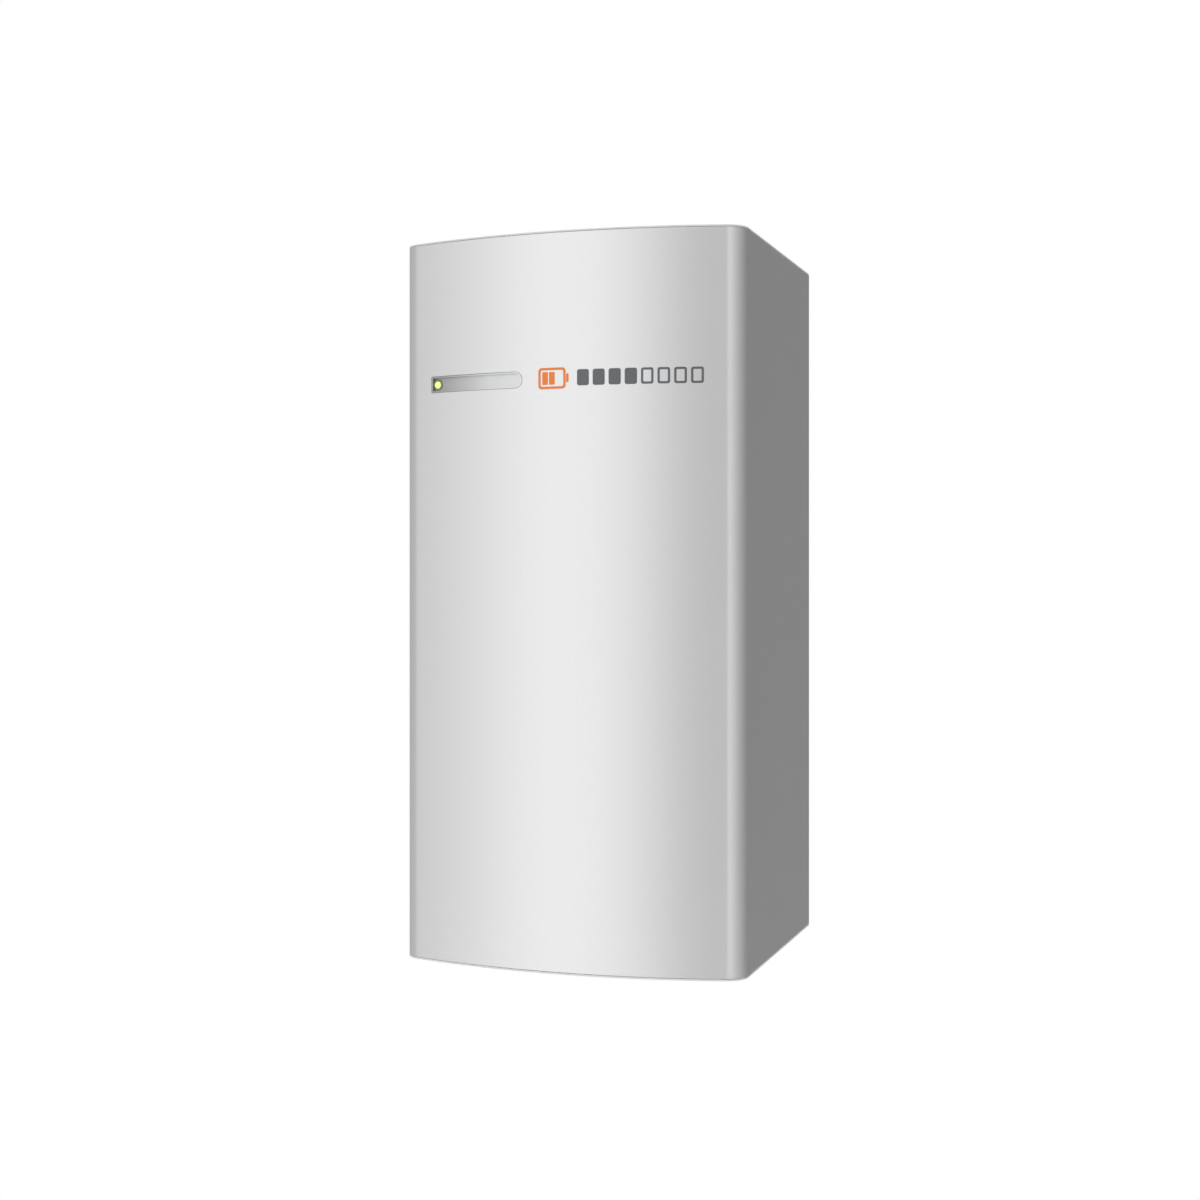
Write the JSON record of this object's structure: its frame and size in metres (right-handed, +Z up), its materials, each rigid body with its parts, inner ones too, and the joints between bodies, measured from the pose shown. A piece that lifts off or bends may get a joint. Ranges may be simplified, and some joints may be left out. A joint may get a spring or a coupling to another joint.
{
  "type": "wall battery unit",
  "caption": "Wall-hung home battery with a crowned satin cover, lit indicator window, finned converters over a sealed pack, and a wiring box with a drop-down door.",
  "frame": {"origin": "centre of the wall bracket's back face, on the wall, level with the unit's mid-height", "axes": "+X to the right as seen by someone facing the unit, +Y into the wall, +Z up"},
  "size_m": [0.326, 0.32, 0.664],
  "materials": {
    "cover_paint": "satin light silver-grey paint over sheet aluminium",
    "cap_plastic": "fine-grained mid-grey moulding",
    "tray_plastic": "smooth grey moulding",
    "lens_plastic": "clear moulding lit pale yellow",
    "zinc_steel": "zinc-plated sheet steel",
    "bolt_steel": "plated steel",
    "black_rubber": "matt rubber",
    "cast_aluminium": "die-cast aluminium",
    "inverter_case": "dark anodised casting",
    "black_plastic": "fine-grained black moulding",
    "grey_plastic": "fine-grained grey moulding",
    "grey_paint": "grey powder coat",
    "cell_wrap": "blue insulating wrap on aluminium cans",
    "copper": "bare copper bar on a moulded tray",
    "circuit_board": "green solder mask with black parts",
    "orange_plastic": "smooth orange moulding",
    "red_sheath": "red cable sheath",
    "black_sheath": "black cable sheath",
    "grey_sheath": "grey cable sheath",
    "brass": "bare brass bar"
  },
  "bodies": {
    "wall_bracket": {"wall_bracket": "zinc_steel"},
    "battery_unit": {"back_panel": "zinc_steel", "hang_rail": "zinc_steel", "lower_stud_left": "bolt_steel", "lower_stud_right": "bolt_steel", "wall_bumper_left": "black_rubber", "wall_bumper_right": "black_rubber", "edge_seal_left": "black_rubber", "edge_seal_right": "black_rubber", "pack_tub": "cast_aluminium", "pack_gasket": "black_rubber", "pack_lid": "cast_aluminium", "management_board": "circuit_board", "contactor": "black_plastic", "pack_fuse": "grey_plastic", "breather_vent": "black_plastic", "carry_handle_left": "bolt_steel", "carry_handle_right": "bolt_steel", "inverter_carrier": "zinc_steel", "dc_trunk_cable": "black_sheath", "ac_trunk_cable": "black_sheath", "pack_lead_positive": "red_sheath", "pack_lead_negative": "black_sheath", "dc_switch_body": "grey_plastic", "radio_housing": "grey_plastic", "radio_board": "circuit_board", "signal_cable": "grey_sheath", "support_frame_top": "zinc_steel", "support_frame_bottom": "zinc_steel", "wiring_box": "grey_paint", "door_hinge_pin": "bolt_steel", "terminal_block": "grey_plastic", "ground_bar": "brass", "conduit_hub": "cast_aluminium", "conduit_plug_left": "black_plastic", "conduit_plug_middle": "black_plastic", "cell_block_1": "cell_wrap", "clamp_frame_1": "cast_aluminium", "busbar_tray_1": "copper", "cell_block_2": "cell_wrap", "clamp_frame_2": "cast_aluminium", "busbar_tray_2": "copper", "cell_block_3": "cell_wrap", "clamp_frame_3": "cast_aluminium", "busbar_tray_3": "copper", "inverter_1": "inverter_case", "inverter_2": "inverter_case", "inverter_3": "inverter_case", "inverter_4": "inverter_case"},
    "front_cover": {"cover_shell": "cover_paint", "cover_top_cap": "cap_plastic", "cover_bottom_cap": "cap_plastic", "indicator_tray": "tray_plastic", "light_pipe": "lens_plastic"},
    "wiring_door": {"wiring_door": "grey_paint"},
    "dc_switch_knob": {"dc_switch_knob": "black_plastic"},
    "terminal_lever_1": {"terminal_lever_1": "orange_plastic"},
    "terminal_lever_2": {"terminal_lever_2": "orange_plastic"},
    "terminal_lever_3": {"terminal_lever_3": "orange_plastic"}
  },
  "joints": [
    {"name": "unit_lift", "type": "slide", "parent": "wall_bracket", "child": "battery_unit", "axis": [0, 0, 1], "range_m": [0, 0.025]},
    {"name": "cover_pull", "type": "slide", "parent": "battery_unit", "child": "front_cover", "axis": [0, -1, 0], "range_m": [0, 0.33]},
    {"name": "wiring_door_hinge", "type": "hinge", "parent": "battery_unit", "child": "wiring_door", "pos_m": [0, -0.1568, -0.309], "axis": [1, 0, 0], "range_deg": [0, 90]},
    {"name": "dc_switch_turn", "type": "hinge", "parent": "battery_unit", "child": "dc_switch_knob", "pos_m": [0.098, -0.227, 0.228], "axis": [0, -1, 0], "range_deg": [-90, 0]},
    {"name": "terminal_lever_1_swing", "type": "hinge", "parent": "battery_unit", "child": "terminal_lever_1", "pos_m": [-0.028, -0.0741, -0.244], "axis": [-1, 0, 0], "range_deg": [0, 85]},
    {"name": "terminal_lever_2_swing", "type": "hinge", "parent": "battery_unit", "child": "terminal_lever_2", "pos_m": [0, -0.0741, -0.244], "axis": [-1, 0, 0], "range_deg": [0, 85]},
    {"name": "terminal_lever_3_swing", "type": "hinge", "parent": "battery_unit", "child": "terminal_lever_3", "pos_m": [0.028, -0.0741, -0.244], "axis": [-1, 0, 0], "range_deg": [0, 85]}
  ]
}
